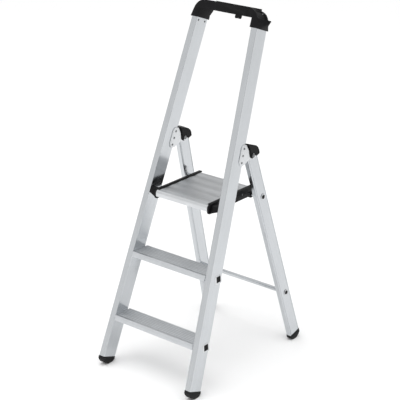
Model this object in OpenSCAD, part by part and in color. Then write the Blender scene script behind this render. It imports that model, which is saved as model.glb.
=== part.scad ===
// Folding step stool: two steps, a fold-up platform and a tray across the top.
// Millimetres. +X to the user's right, the user climbs from -Y, +Z up, floor at 0.

/* [Front frame] */
// Lean of the front frame from upright, degrees
front_lean = 20.74; // [18:0.01:23]
// Half width over the stiles at the floor
front_half = 227.6; // [210:0.1:250]
// Inward slant of each stile, degrees
front_taper = 3.3; // [3:0.05:3.5]
// Stile width across the stool
stile_w = 25; // [22:0.5:30]
// Stile depth, front to back
stile_d = 65; // [60:0.5:72]
// Wall of the stile and leg tubes
tube_t = 1.6; // [1.2:0.1:2.5]
// Stile bottom cut, along the stile
stile_a0 = 42.8; // [40:0.1:48]
// Tray socket mouth, along the stile
socket_a = 1362; // [1340:1:1380]

/* [Rear frame] */
// Lean of the rear legs from upright, degrees
rear_lean = 15.83; // [14:0.01:18]
// Half width over the rear legs at the floor
rear_half = 223; // [205:0.1:246]
// Inward slant of each rear leg, degrees
rear_taper = 3.45; // [3.2:0.05:3.6]
// Leg width across the stool
leg_w = 20; // [16:0.5:20.5]
// Leg depth, front to back
leg_d = 56; // [48:0.5:58]
// Leg bottom cut, along the leg
leg_a0 = 19.7; // [16:0.1:24]
// Upper cross tube, along the leg
tube_up = 656; // [640:1:670]
// Lower cross tube, along the leg
tube_low = 213; // [150:1:320]
// Cross tube outer radius
tube_r = 8.5; // [7:0.1:10]
// Width of the grooves along each rear leg
groove_w = 1.8; // [1:0.1:2.4]

/* [Hinge] */
// Hinge pin, along the stile
pin_a = 916; // [900:1:930]
// Hinge pin, behind the front of the stile
pin_d = 119; // [117:0.5:124]
// Hinge pin radius
pin_r = 5; // [4:0.1:6]
// Thickness of the hinge plates
plate_t = 2.5; // [2:0.1:3]
// Running clearance on every turning hole
run_c = 0.05; // [0.02:0.01:0.09]

/* [Steps] */
// Height of the lower tread
step_low = 196; // [180:1:210]
// Height from tread to tread
step_rise = 235; // [220:1:240]
// Tread depth
tread_d = 79.5; // [74:0.5:90]
// Front lip height of a tread
lip_h = 19; // [15:0.5:24]
// Grooves in a tread
tread_ribs = 7; // [4:1:9]

/* [Platform] */
// Height of the platform top
plat_z = 666.3; // [662:0.5:670]
// Half width of the platform
plat_half = 130; // [124:0.5:132]
// Front edge of the platform, behind the floor line of the stiles
plat_y0 = 237.6; // [232:0.5:244]
// Front lip height of the deck
deck_lip = 24; // [20:0.5:27]
// Depth of the black side frames
side_h = 34; // [31:0.5:36]
// Wave crests across the deck
deck_waves = 4; // [3:1:12]
// Height of the deck waves
wave_h = 1.3; // [0.6:0.1:2]
// Radius of the deck's nose
nose_r = 12; // [8:0.5:14]
// Thickness of the side frames
side_t = 8; // [6:0.5:10]

/* [Tray] */
// Height of the arch above the socket mouths
tray_h = 67; // [60:1:72]
// Height of the underside above the socket mouths
tray_gap = 35; // [32:1:38]
// Shoulder radius of the arch
tray_r = 46; // [40:1:50]
// Wall of the tray
tray_t = 3; // [2.5:0.1:4]

/* [Feet] */
// Sole radius of the front feet
foot_rf = 38; // [36:0.5:44]
// Sole radius of the rear feet
foot_rr = 36; // [33:0.5:42]
// How far the feet stand proud of the tubes
foot_p = 1.5; // [0.5:0.1:2]

/* [Hidden] */
$fn = 64;
alu = [0.74, 0.76, 0.78];
alu_dark = [0.58, 0.60, 0.62];
black = [0.05, 0.05, 0.055];
// hinge pin in the stool's own upright frame
pin_y = pin_d * cos(front_lean) + pin_a * sin(front_lean);
pin_z = pin_a * cos(front_lean) - pin_d * sin(front_lean);
// rear frame: depth of the pin in the leg, and the floor line of the leg's front
leg_pin_d = leg_d / 2 + 1;
leg_pin_a = (pin_z - leg_pin_d * sin(rear_lean)) / cos(rear_lean);
rear_y = pin_y - leg_pin_d * cos(rear_lean) + leg_pin_a * sin(rear_lean);
// cross tube centres
tube_dep = 32.5;
up_y = rear_y + tube_dep * cos(rear_lean) - tube_up * sin(rear_lean);
up_z = tube_dep * sin(rear_lean) + tube_up * cos(rear_lean);
low_y = rear_y + tube_dep * cos(rear_lean) - tube_low * sin(rear_lean);
low_z = tube_dep * sin(rear_lean) + tube_low * cos(rear_lean);
// centres of the sole arcs, sunk a little so each foot has a flat patch
sole_sink = 0.35;
ff_a = (foot_rf - sole_sink + stile_d / 2 * sin(front_lean)) / cos(front_lean);
rf_a = (foot_rr - sole_sink - leg_d / 2 * sin(rear_lean)) / cos(rear_lean);
ff_half = stile_d / 2 + foot_p;
rf_half = leg_d / 2 + foot_p;
y_min = -foot_p * cos(front_lean) + (ff_a - sqrt(foot_rf * foot_rf - ff_half * ff_half)) * sin(front_lean);
y_max = rear_y + (leg_d + foot_p) * cos(rear_lean)
    - (rf_a - sqrt(foot_rr * foot_rr - rf_half * rf_half)) * sin(rear_lean);
y_mid = (y_min + y_max) / 2;
// hinge pin measured along and behind the slanted stile
hin_a = pin_a / cos(front_taper) + stile_w / 2 * sin(front_taper);
// stile top inside its socket, tray top
stile_a1 = socket_a + 13;
tray_a1 = socket_a + tray_h;
floor_z = (socket_a + tray_gap) * cos(front_lean);
steps_z = [step_low, step_low + step_rise];
// square insert: behind the front line, below the tread top
plug_back = 49;
plug_down = 20;
plat_y1 = up_y + 3;
side_in = plat_half - side_t;
// brackets beside the platform: set back from the stile's front, sloping up under to the stile
bracket_set = 2;
bracket_back = plat_y0 + 36;
bracket_top = 2.5;
bracket_foot = 31;
bracket_rise = 22;
// rim that laps over the deck's edge
rim_in = plat_half - 14;
rim_up = 3;
rebate = 1.4;
// wave field: first wave behind the nose, flat strip at the back
wave_y0 = 30;
wave_back = 14;
// grooves in the rear legs: from the edge, and how deep
groove_in = 4.5;
groove_t = 0.8;
// lugs behind the tray sockets, spigots inside the stiles
lug_x = 26;
spigot = 27;
// clearance of a foot or spigot inside a tube
fit_c = tube_t + 0.3;
// Everything is drawn from the floor line of the stiles and moved once, here.
module place() {
    translate([0, -y_mid, 0]) children();
}

// Plane of the front frame: x across, y behind the front face, z along.
module front() {
    rotate([-front_lean, 0, 0]) children();
}

module rear() {
    translate([0, rear_y, 0]) rotate([rear_lean, 0, 0]) children();
}

// Right stile: x = 0 on its outer face, x = -stile_w on its inner face.
module on_stile() {
    front() translate([front_half, 0, 0]) rotate([0, -front_taper, 0]) children();
}

module on_leg() {
    rear() translate([rear_half, 0, 0]) rotate([0, -rear_taper, 0]) children();
}

module sided(s) {
    if (s > 0) children();
    else mirror([1, 0, 0]) children();
}

// Rounded rectangle between [x0, y0] and [x1, y1].
module rrect(x0, y0, x1, y1, r) {
    translate([x0 + r, y0]) square([x1 - x0 - 2 * r, y1 - y0]);
    translate([x0, y0 + r]) square([x1 - x0, y1 - y0 - 2 * r]);
    for (p = [[x0 + r, y0 + r], [x1 - r, y0 + r], [x0 + r, y1 - r], [x1 - r, y1 - r]])
        translate(p) circle(r);
}

// Outline drawn in (behind, along), extruded across from x0 to x1.
module across(x0, x1) {
    translate([x0, 0, 0]) rotate([90, 0, 90]) linear_extrude(x1 - x0) children();
}

module slab(a0, a1) {
    translate([-300, -60, a0]) cube([600, 200, a1 - a0]);
}

// Space between the two stiles, g clear of each.
module between_stiles(g) {
    x0 = front_half - (stile_w + g) / cos(front_taper);
    t = tan(front_taper);
    front() translate([0, 200, 0]) rotate([90, 0, 0]) linear_extrude(400)
        polygon([[-x0, 0], [x0, 0], [x0 - 1400 * t, 1400], [-x0 + 1400 * t, 1400]]);
}

module pin_hole(r, s) {
    translate([s * 100, pin_y, pin_z]) rotate([0, s * 90, 0]) cylinder(r = r, h = 150);
}

module dome(r, h) {
    q = (r * r + h * h) / (2 * h);
    intersection() {
        translate([0, 0, h - q]) sphere(q);
        cylinder(r = r, h = h);
    }
}

module stile(s) {
    color(alu) place() sided(s) intersection() {
        on_stile() linear_extrude(1460) difference() {
            rrect(-stile_w, 0, 0, stile_d, 3);
            rrect(-stile_w + tube_t, tube_t, -tube_t, stile_d - tube_t, 1.6);
        }
        front() slab(stile_a0, stile_a1);
    }
}

module front_foot(s) {
    color(black) place() sided(s) union() {
        intersection() {
            on_stile() linear_extrude(120) rrect(-stile_w - foot_p, -foot_p, foot_p, stile_d + foot_p, 4.5);
            front() slab(-60, stile_a0);
            front() translate([100, stile_d / 2, ff_a]) rotate([0, 90, 0]) cylinder(r = foot_rf, h = 200);
            translate([-300, -100, 0]) cube([600, 300, 200]);
        }
        intersection() {
            on_stile() linear_extrude(120) rrect(-stile_w + fit_c, fit_c, -fit_c, stile_d - fit_c, 1.4);
            front() slab(stile_a0 - 1, stile_a0 + 28);
        }
    }
}

// Tread section in the upright plane, y from its front top corner.
module tread_outline() {
    t = tan(front_lean);
    pitch = (tread_d - 14) / tread_ribs;
    difference() {
        polygon([[0, 0], [tread_d - 2, 0], [tread_d, -2], [tread_d, -14], [tread_d - 2, -14],
            [tread_d - 2, -3], [3, -3], [1.5 - lip_h * t, -lip_h + 1.5], [9 - lip_h * t, -lip_h + 1.5],
            [9 - lip_h * t, -lip_h], [-lip_h * t, -lip_h]]);
        for (i = [0 : tread_ribs - 1])
            translate([7 + i * pitch, -1]) square([pitch * 0.45, 2]);
    }
}

module step(z) {
    color(alu_dark) place() intersection() {
        translate([0, z * tan(front_lean), z]) across(-240, 240) tread_outline();
        between_stiles(0.1);
    }
}

// A spot on the stile's outer face, upright, b behind the front line at height z.
module on_face(b, z) {
    y = b + z * tan(front_lean);
    d = y * cos(front_lean) - z * sin(front_lean);
    a = (y * sin(front_lean) + z * cos(front_lean)) / cos(front_taper);
    on_stile() translate([0, d, a]) rotate([front_lean, 0, 0]) children();
}

module step_flanges() {
    color(alu) place() for (s = [-1, 1], z = steps_z)
        sided(s) on_face(plug_back, z - plug_down) difference() {
            across(0.05, 2.2) rrect(-19, -19, 19, 16, 7);
            across(-1, 4) rrect(-11.6, -11.6, 11.6, 11.6, 2);
        }
}

module step_plugs() {
    color(black) place() for (s = [-1, 1], z = steps_z)
        sided(s) on_face(plug_back, z - plug_down) difference() {
            across(0.05, 1.7) rrect(-11.4, -11.4, 11.4, 11.4, 1.8);
            across(0.9, 4) rrect(-8.5, -8.5, 8.5, 8.5, 1.2);
        }
}

// Arch of the tray seen from the front: x across, y along the stile, g in from the outline.
module arch(g) {
    r = tray_r - g;
    xs = front_half - socket_a * tan(front_taper) + 3.4 - g;
    xc = xs - 8 - tray_r * 0.97 + g;
    yc = tray_a1 - tray_r;
    polygon([[-xs, socket_a - g], [xs, socket_a - g], [xc + 0.97 * r, yc + 0.242 * r], [xc, yc + 1],
        [-xc, yc + 1], [-xc - 0.97 * r, yc + 0.242 * r]]);
    translate([-xc, yc]) square([2 * xc, r]);
    for (s = [-1, 1])
        translate([s * xc, yc]) intersection() {
            circle(r);
            translate([s > 0 ? 0 : -80, 0]) square(80);
        }
}

module tray_block(d0, d1) {
    front() translate([0, d1, 0]) rotate([90, 0, 0]) linear_extrude(d1 - d0) children();
}

// Two-lobed tab under the front wall of the tray.
module tray_tab() {
    tray_block(-4, 0) difference() {
        rrect(47, socket_a + 21, 75, socket_a + 42, 5);
        translate([61, socket_a + 19]) circle(4);
    }
}

module tool_tray() {
    xi = front_half - stile_w - socket_a * tan(front_taper) - 3.4;
    color(black) place() union() {
        difference() {
            union() {
                tray_block(-4, 69) arch(0);
                // raised back rim
                tray_block(65, 69) translate([-105, tray_a1 - 10]) square([210, 17]);
                // lugs behind the sockets
                for (s = [-1, 1])
                    sided(s) front() across(xi, xi + lug_x) translate([0, socket_a])
                        polygon([[68, 39], [82, 39], [82, 35], [71, 18], [68, 18]]);
            }
            // gap between the sockets, level on top
            difference() {
                tray_block(-6, 75) translate([-xi, socket_a - 10]) square([2 * xi, 70]);
                translate([-200, 0, floor_z]) cube([400, 900, 200]);
            }
            // inside of the tray, level floor
            intersection() {
                tray_block(-4 + tray_t, 69 - tray_t) translate([-108, socket_a]) square([216, 120]);
                translate([-200, 0, floor_z + tray_t]) cube([400, 900, 200]);
            }
            // hollows in the shoulders
            for (s = [-1, 1])
                sided(s) tray_block(5, 60) intersection() {
                    translate([xi - 8, socket_a + 37]) square([60, 40]);
                    difference() {
                        arch(-5);
                        arch(5);
                    }
                }
            // sockets over the stile tops
            for (s = [-1, 1])
                sided(s) intersection() {
                    on_stile() linear_extrude(1460) rrect(-stile_w - 0.2, -0.2, 0.2, stile_d + 0.2, 3.2);
                    front() slab(socket_a - 5, stile_a1 + 0.2);
                }
        }
        tray_tab();
        // spigots down inside the stiles
        for (s = [-1, 1])
            sided(s) intersection() {
                on_stile() linear_extrude(1460)
                    rrect(-stile_w + fit_c, fit_c, -fit_c, stile_d - fit_c, 1.4);
                front() slab(socket_a - spigot, stile_a1 + 1);
            }
    }
}

module tray_rivets() {
    color(alu_dark) place() for (s = [-1, 1], d = [13, 51])
        sided(s) on_stile() translate([-stile_w - 0.05, d, socket_a - 6.5])
            rotate([0, -90, 0]) dome(4, 1.6);
}

// Hinge plate outline, (behind, along) measured from the pin.
module plate_outline() {
    polygon([[-79, -33], [-79, 20], [-73, 31], [-59, 34], [3, 33], [17, 24], [24, 6], [14, -6], [8, -12],
        [-1, -14], [-9, -14], [-20, -18], [-32, -28], [-46, -40], [-56, -45], [-64, -46], [-71, -44]]);
}

module hinge_plate(s, outer) {
    x0 = outer ? 0.05 : -stile_w - plate_t;
    color(alu) place() sided(s) difference() {
        on_stile() translate([0, pin_d, hin_a]) across(x0, x0 + plate_t - 0.05) plate_outline();
        pin_hole(pin_r + 0.1, 1);
    }
}

module hinge_rivets() {
    color(alu_dark) place() for (s = [-1, 1], a = [-34, -8, 18])
        sided(s) on_stile() {
            translate([plate_t + 0.05, pin_d - 62.5, hin_a + a]) rotate([0, 90, 0]) dome(4.2, 1.8);
            translate([-stile_w - plate_t - 0.05, pin_d - 62.5, hin_a + a])
                rotate([0, -90, 0]) dome(4.2, 1.8);
        }
}

module cap_outline() {
    polygon([[-53, 37], [3, 38], [15, 34], [24, 27], [31, 16], [32, 12], [20, 2], [11, -6], [-2, -12],
        [-9, -12], [-15, -10], [-20, -5], [-38, 29], [-53, 33.5]]);
}

module cap_notch() {
    circle(9.5);
    polygon([[-5, -8], [8, 5], [40, -8], [20, -34]]);
}

module hinge_cap(s) {
    x0 = -stile_w - plate_t - 3.4;
    x1 = plate_t + 3.4;
    color(black) place() sided(s) on_stile() translate([0, pin_d, hin_a]) union() {
        across(x1 - 3.2, x1) difference() {
            cap_outline();
            cap_notch();
        }
        across(x0, x0 + 3.2) difference() {
            cap_outline();
            cap_notch();
        }
        across(x0 + 1, x1 - 1) difference() {
            cap_outline();
            polygon([[-60, 34.2], [2, 35.2], [13, 31.2], [21.5, 24.5], [28, 14], [60, -20], [-60, -60]]);
        }
    }
}

module pivot_pin(s) {
    xo = front_half - pin_a * tan(front_taper) + plate_t + 0.7;
    xi = xo - stile_w - 2 * plate_t - 1.5;
    color(alu) place() sided(s) translate([0, pin_y, pin_z]) rotate([0, 90, 0]) union() {
        translate([0, 0, xi]) cylinder(r = pin_r, h = xo - xi);
        translate([0, 0, xo]) cylinder(r = 7.5, h = 1.6);
        translate([0, 0, xo + 1.5]) dome(6, 1.4);
        translate([0, 0, xi - 1.6]) cylinder(r = 7.5, h = 1.7);
    }
}

module pivot_washers() {
    lo = rear_half - leg_pin_a * tan(rear_taper);
    color(alu_dark) place() for (s = [-1, 1])
        sided(s) translate([0, pin_y, pin_z]) rotate([0, 90, 0]) {
            translate([0, 0, lo + 0.85]) difference() {
                cylinder(r = 8.5, h = 0.8);
                translate([0, 0, -1]) cylinder(r = pin_r + 0.15, h = 4);
            }
            translate([0, 0, lo - leg_w - 1.65]) difference() {
                cylinder(r = 8.5, h = 0.8);
                translate([0, 0, -1]) cylinder(r = pin_r + 0.15, h = 4);
            }
        }
}

module platform_bracket(s) {
    x = plat_half + 0.9;
    color(black) place() sided(s) intersection() {
        translate([0, bracket_back, plat_z]) rotate([90, 0, 0]) linear_extrude(60)
            polygon([[x, -bracket_foot], [x + 60, bracket_rise - bracket_foot], [x + 60, -bracket_top],
                [x, -bracket_top]]);
        front() translate([0, bracket_set, 0]) cube([400, 100, 900]);
        between_stiles(0.1);
    }
}

// Quarter round of the nose, from the front face up to the top; g in from the front, h down from the top.
function nose(g, h) = [for (t = [0 : 10 : 90])
    [nose_r - (nose_r - g) * cos(t), (nose_r - h) * sin(t) - nose_r]];

// Deck section, y from the front edge: round nose, soft waves on top, lips front and back.
module deck_outline() {
    n = deck_waves * 24;
    w = plat_y1 - plat_y0 - wave_y0 - wave_back;
    end = wave_y0 + w + 12;
    top = [for (i = [0 : n]) [wave_y0 + w * i / n, wave_h / 2 * (cos(360 * deck_waves * i / n) - 1)]];
    under = nose(3, 4.6);
    difference() {
        polygon(concat(nose(0, 0), top, [[end, 0], [end, -9.3], [end - 2.5, -9.3], [end - 2.5, -4.6]],
            [for (i = [len(under) - 1 : -1 : 0]) under[i]], [[3, -deck_lip], [0, -deck_lip]]));
        for (y = [14, 19, 24])
            translate([y, -0.9]) square([1.6, 2]);
    }
}

module platform_deck() {
    x = side_in - 0.2;
    color(alu_dark) place() translate([0, plat_y0, plat_z]) difference() {
        across(-x, x) deck_outline();
        // rebates under the rims of the side frames
        for (s = [-1, 1])
            sided(s) translate([rim_in - 0.2, nose_r - 0.2, -rebate]) cube([20, 300, 10]);
    }
}

module side_frame(s) {
    x1 = plat_half;
    zb = plat_z - side_h;
    long = up_y - plat_y0;
    flat = long + 10 - nose_r;
    color(black) place() sided(s) difference() {
        union() {
            across(side_in, x1) union() {
                translate([plat_y0 + nose_r, zb]) square([long - nose_r, side_h]);
                translate([plat_y0, zb + 8]) square([20, side_h - 8 - nose_r]);
                translate([plat_y0 + 8, zb + 8]) circle(8);
                translate([plat_y0 + nose_r, plat_z - nose_r]) circle(nose_r);
                translate([up_y, up_z]) circle(16.5);
                translate([up_y - 20, up_z]) square([30, plat_z - up_z]);
            }
            // rim over the deck's edge
            translate([rim_in, plat_y0 + nose_r, plat_z + 0.2 - rebate])
                cube([x1 - rim_in, flat, rim_up + rebate - 0.2]);
            // ledge under the deck
            translate([side_in - 10, plat_y0 + 16, plat_z - 8.2]) cube([12, long - 20, 3.4]);
            translate([x1 - 24, up_y, up_z]) rotate([0, 90, 0]) cylinder(r = 14.5, h = 24);
        }
        translate([50, up_y, up_z]) rotate([0, 90, 0]) cylinder(r = tube_r + run_c, h = 120);
    }
}

module deck_rivets() {
    color(alu_dark) place() for (s = [-1, 1], y = [60, 128, 196])
        sided(s) translate([plat_half + 0.05, plat_y0 + y, plat_z - 15])
            rotate([0, 90, 0]) cylinder(r = 3, h = 0.6);
}

// Leg body: a tube with its top rounded about the hinge pin; t is how far in from the outer skin.
module leg_body(t, a0, a1) {
    top = leg_pin_a / cos(rear_taper);
    intersection() {
        on_leg() linear_extrude(1000) rrect(-leg_w + t, t, -t, leg_d - t, 3 - t * 0.8);
        rear() slab(a0, a1);
    }
    on_leg() translate([0, leg_d / 2, top]) across(-leg_w + t, -t) circle(leg_d / 2 - t);
}

// Shallow grooves down both sides of a leg, near its front and back edges.
module leg_grooves() {
    on_leg() for (x = [-groove_t, -leg_w - 1], d = [groove_in, leg_d - groove_in - groove_w])
        translate([x, d, 0]) cube([1 + groove_t, groove_w, 1000]);
}

module rear_leg(s) {
    color(alu) place() sided(s) difference() {
        leg_body(0, leg_a0, leg_pin_a);
        leg_body(tube_t, leg_a0 - 5, leg_pin_a);
        leg_grooves();
        pin_hole(pin_r + run_c, 1);
        translate([100, up_y, up_z]) rotate([0, 90, 0]) cylinder(r = tube_r + 0.1, h = 200);
        translate([100, low_y, low_z]) rotate([0, 90, 0]) cylinder(r = tube_r + 0.1, h = 200);
    }
}

module rear_foot(s) {
    color(black) place() sided(s) union() {
        intersection() {
            on_leg() linear_extrude(120) rrect(-leg_w - foot_p, -foot_p, foot_p, leg_d + foot_p, 4.5);
            rear() slab(-60, leg_a0);
            rear() translate([100, leg_d / 2, rf_a]) rotate([0, 90, 0]) cylinder(r = foot_rr, h = 200);
            translate([-300, 400, 0]) cube([600, 400, 200]);
        }
        intersection() {
            on_leg() linear_extrude(120) rrect(-leg_w + fit_c, fit_c, -fit_c, leg_d - fit_c, 1.4);
            rear() slab(leg_a0 - 1, leg_a0 + 28);
        }
    }
}

module cross_tube(a, y, z) {
    x = rear_half - a * tan(rear_taper) + 1.6;
    color(alu) place() translate([-x, y, z]) rotate([0, 90, 0]) difference() {
        cylinder(r = tube_r, h = 2 * x);
        translate([0, 0, -1]) cylinder(r = tube_r - 1.5, h = 2 * x + 2);
    }
}

module tube_collars() {
    color(alu) place() for (s = [-1, 1], p = [[tube_up, up_y, up_z], [tube_low, low_y, low_z]]) {
        x = rear_half - p[0] * tan(rear_taper) + 0.8;
        sided(s) translate([x, p[1], p[2]]) rotate([0, 90, 0]) difference() {
            cylinder(r = tube_r + 3.4, h = 1.4);
            translate([0, 0, -1]) cylinder(r = tube_r + 0.1, h = 4);
        }
    }
}

stile(-1);  // left_front_stile
stile(1);  // right_front_stile
step(steps_z[0]);  // lower_step
step(steps_z[1]);  // upper_step
step_flanges();  // step_end_flanges
step_plugs();  // step_end_plugs
front_foot(-1);  // left_front_foot
front_foot(1);  // right_front_foot
tool_tray();
tray_rivets();
hinge_plate(-1, true);  // left_outer_hinge_plate
hinge_plate(-1, false);  // left_inner_hinge_plate
hinge_plate(1, true);  // right_outer_hinge_plate
hinge_plate(1, false);  // right_inner_hinge_plate
hinge_rivets();
hinge_cap(-1);  // left_hinge_cap
hinge_cap(1);  // right_hinge_cap
pivot_pin(-1);  // left_pivot_pin
pivot_pin(1);  // right_pivot_pin
pivot_washers();
platform_bracket(-1);  // left_platform_bracket
platform_bracket(1);  // right_platform_bracket
platform_deck();
side_frame(-1);  // left_side_frame
side_frame(1);  // right_side_frame
deck_rivets();
rear_leg(-1);  // left_rear_leg
rear_leg(1);  // right_rear_leg
cross_tube(tube_up, up_y, up_z);  // upper_cross_tube
cross_tube(tube_low, low_y, low_z);  // lower_cross_tube
tube_collars();  // cross_tube_collars
rear_foot(-1);  // left_rear_foot
rear_foot(1);  // right_rear_foot
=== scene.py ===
from math import cos, pi, radians, sin, tan

import bmesh
import bpy
import numpy as np
from bpy.props import FloatProperty, FloatVectorProperty, IntProperty, PointerProperty
from mathutils import Matrix, Vector


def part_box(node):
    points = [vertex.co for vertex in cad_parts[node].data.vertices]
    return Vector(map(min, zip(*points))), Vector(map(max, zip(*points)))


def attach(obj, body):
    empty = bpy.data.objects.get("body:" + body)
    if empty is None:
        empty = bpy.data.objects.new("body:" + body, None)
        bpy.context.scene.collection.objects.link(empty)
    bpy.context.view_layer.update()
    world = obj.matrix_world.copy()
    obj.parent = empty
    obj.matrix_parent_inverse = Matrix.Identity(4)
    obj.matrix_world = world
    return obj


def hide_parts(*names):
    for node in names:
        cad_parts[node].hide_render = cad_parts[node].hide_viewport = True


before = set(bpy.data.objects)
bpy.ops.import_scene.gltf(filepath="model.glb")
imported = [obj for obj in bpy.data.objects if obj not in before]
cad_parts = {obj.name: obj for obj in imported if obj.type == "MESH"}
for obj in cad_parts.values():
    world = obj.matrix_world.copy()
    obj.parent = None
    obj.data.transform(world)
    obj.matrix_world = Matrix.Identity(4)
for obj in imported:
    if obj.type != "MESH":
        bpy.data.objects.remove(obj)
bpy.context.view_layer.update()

bl_info = {
    "name": "Step stool with tool tray",
    "version": (1, 0, 0),
    "blender": (4, 5, 0),
    "location": "View3D > Sidebar > Step stool",
    "description": "Finishes a folding step stool: tubes, treads, platform, hinges, tray and feet",
    "category": "Object",
}

MM = 0.001
SIDES = {"left": -1, "right": 1}


def corners(node):
    """Lowest and highest corner of a frame node as arrays."""
    low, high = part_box(node)
    return np.array(low), np.array(high)


# ---- settings


def length_setting(name, description, default):
    """A length in metres."""
    return FloatProperty(name=name, description=description, default=default, unit="LENGTH")


def angle_setting(name, description, degrees):
    """An angle, given in degrees."""
    return FloatProperty(name=name, description=description, default=radians(degrees), subtype="ANGLE")


def colour_setting(name, description, *default):
    return FloatVectorProperty(name=name, description=description, default=default, subtype="COLOR")


def share_setting(name, description, default):
    """A share from 0 to 1."""
    return FloatProperty(name=name, description=description, default=default, min=0, max=1, subtype="FACTOR")


class StoolSizes(bpy.types.PropertyGroup):
    front_lean: angle_setting("Front lean", "Lean of the front frame from upright", 20.74)
    front_taper: angle_setting("Front taper", "Inward slant of each stile", 3.3)
    rear_lean: angle_setting("Rear lean", "Lean of the rear legs from upright", 15.83)
    rear_taper: angle_setting("Rear taper", "Inward slant of each rear leg", 3.45)
    stile_width: length_setting("Stile width", "Stile across the stool", 0.025)
    stile_depth: length_setting("Stile depth", "Stile front to back", 0.065)
    leg_width: length_setting("Leg width", "Rear leg across the stool", 0.020)
    leg_depth: length_setting("Leg depth", "Rear leg front to back", 0.056)
    tread_ribs: IntProperty(name="Tread ribs", description="Grip ribs along each tread", default=7)
    rib_depth: length_setting("Rib depth", "Depth of the grip grooves", 0.0022)
    deck_waves: IntProperty(name="Deck waves", description="Soft waves across the platform", default=4)
    wave_depth: length_setting("Wave depth", "Depth of the deck waves", 0.0013)
    nose_round: length_setting("Nose round", "Radius of the deck's front edge", 0.012)
    rim_lap: length_setting("Rim lap", "How far the side rims lap over the deck", 0.006)
    foot_skin: length_setting("Foot skin", "How far the feet stand proud of the tubes", 0.0015)
    front_sole: length_setting("Front sole", "Radius of the front soles", 0.038)
    rear_sole: length_setting("Rear sole", "Radius of the rear soles", 0.036)


class StoolFinish(bpy.types.PropertyGroup):
    anodised: colour_setting("Anodised tube", "Colour of the stiles and legs", 0.58, 0.60, 0.62)
    milled: colour_setting("Milled tread", "Colour of the treads", 0.64, 0.66, 0.68)
    deck: colour_setting("Milled deck", "Colour of the platform deck", 0.66, 0.675, 0.69)
    pressed: colour_setting("Pressed plate", "Colour of the hinge plates and flanges", 0.66, 0.675, 0.69)
    steel: colour_setting("Rivet steel", "Colour of the rivets and pins", 0.20, 0.205, 0.21)
    plastic: colour_setting("Black plastic", "Colour of the moulded parts", 0.0045, 0.0045, 0.005)
    rubber: colour_setting("Foot rubber", "Colour of the feet", 0.008, 0.008, 0.009)
    tube_rough: share_setting("Tube roughness", "Roughness of the anodised tubes", 0.17)
    tread_rough: share_setting("Tread roughness", "Roughness of the milled treads", 0.36)
    plastic_rough: share_setting("Plastic roughness", "Roughness of the moulded parts", 0.46)


class StoolStage(bpy.types.PropertyGroup):
    camera_place: FloatVectorProperty(name="Camera place", description="Where the camera stands",
                                      default=(3.0164, -3.6266, 2.4795), subtype="TRANSLATION",
                                      unit="LENGTH")
    camera_turn: angle_setting("Camera turn", "Camera azimuth", 39.790)
    camera_drop: angle_setting("Camera drop", "How far the camera looks down", 21.476)
    camera_roll: angle_setting("Camera roll", "Camera roll", -0.216)
    lens: FloatProperty(name="Lens", description="Focal length in millimetres", default=122.97)
    floor_tone: colour_setting("Floor", "Floor colour", 0.93, 0.93, 0.93)
    zenith: FloatProperty(name="Overhead light", description="Brightness straight overhead", default=1.5)
    horizon: FloatProperty(name="Horizon light", description="Brightness at eye level", default=0.72)
    front_lift: share_setting("Front lift", "How much brighter the room is in front at eye level", 0.28)
    back_dim: share_setting("Back dimming", "How much darker the room is behind the stool", 0.42)


# ---- shader bench


class Wire:
    """A shader value that takes part in sums: each operator adds its Math node."""

    def __init__(self, bench, socket):
        self.bench = bench
        self.socket = socket

    def _sum(self, operation, *values):
        node = self.bench.node("ShaderNodeMath", {"operation": operation}, dict(enumerate(values)))
        return self.bench.wire(node, 0)

    def __add__(self, other):
        return self._sum("ADD", self, other)

    def __mul__(self, other):
        return self._sum("MULTIPLY", self, other)

    def __rsub__(self, other):
        return self._sum("SUBTRACT", other, self)

    __radd__ = __add__
    __rmul__ = __mul__

    def soft(self, low, high):
        """0 below low, 1 above high and a smooth rise between."""
        values = {"Value": self, "From Min": low, "From Max": high}
        node = self.bench.node("ShaderNodeMapRange", {"interpolation_type": "SMOOTHSTEP"}, values)
        return self.bench.wire(node, "Result")


class Bench:
    """The node tree that one finish is made on."""

    def __init__(self, tree):
        self.tree = tree
        tree.nodes.clear()

    def node(self, kind, settings=None, values=None):
        """Adds a node: its settings first, then the values or links of its sockets."""
        node = self.tree.nodes.new(kind)
        for key, value in (settings or {}).items():
            setattr(node, key, value)
        for key, value in (values or {}).items():
            if isinstance(value, Wire):
                self.tree.links.new(value.socket, node.inputs[key])
            else:
                node.inputs[key].default_value = value
        return node

    def wire(self, node, key):
        return Wire(self, node.outputs[key])

    def place(self, turn=(0, 0, 0), scale=(1, 1, 1)):
        """Object coordinates turned to a piece's own grain and scaled along it."""
        spot = self.wire(self.node("ShaderNodeTexCoord"), "Object")
        turned = self.node("ShaderNodeMapping", {}, {"Vector": spot, "Rotation": turn})
        scaled = self.node("ShaderNodeMapping", {}, {"Vector": self.wire(turned, 0), "Scale": scale})
        return self.wire(scaled, 0)

    def cloud(self, spot, scale, detail=2.0, rough=0.5):
        values = {"Vector": spot, "Scale": scale, "Detail": detail, "Roughness": rough}
        return self.wire(self.node("ShaderNodeTexNoise", {}, values), 0)

    def blend(self, factor, first, second):
        """Colour that goes from first to second with factor."""
        values = {0: factor, 6: first, 7: second}
        return self.wire(self.node("ShaderNodeMix", {"data_type": "RGBA"}, values), 2)

    def bump(self, height, strength, distance):
        values = {"Height": height, "Strength": strength, "Distance": distance}
        return self.wire(self.node("ShaderNodeBump", {}, values), "Normal")

    def shade(self, **values):
        """Ends the tree in one Principled shader; words in value names are joined by _."""
        named = {key.replace("_", " "): value for key, value in values.items()}
        shader = self.node("ShaderNodeBsdfPrincipled", {}, named)
        self.node("ShaderNodeOutputMaterial", {}, {"Surface": self.wire(shader, 0)})


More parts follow.
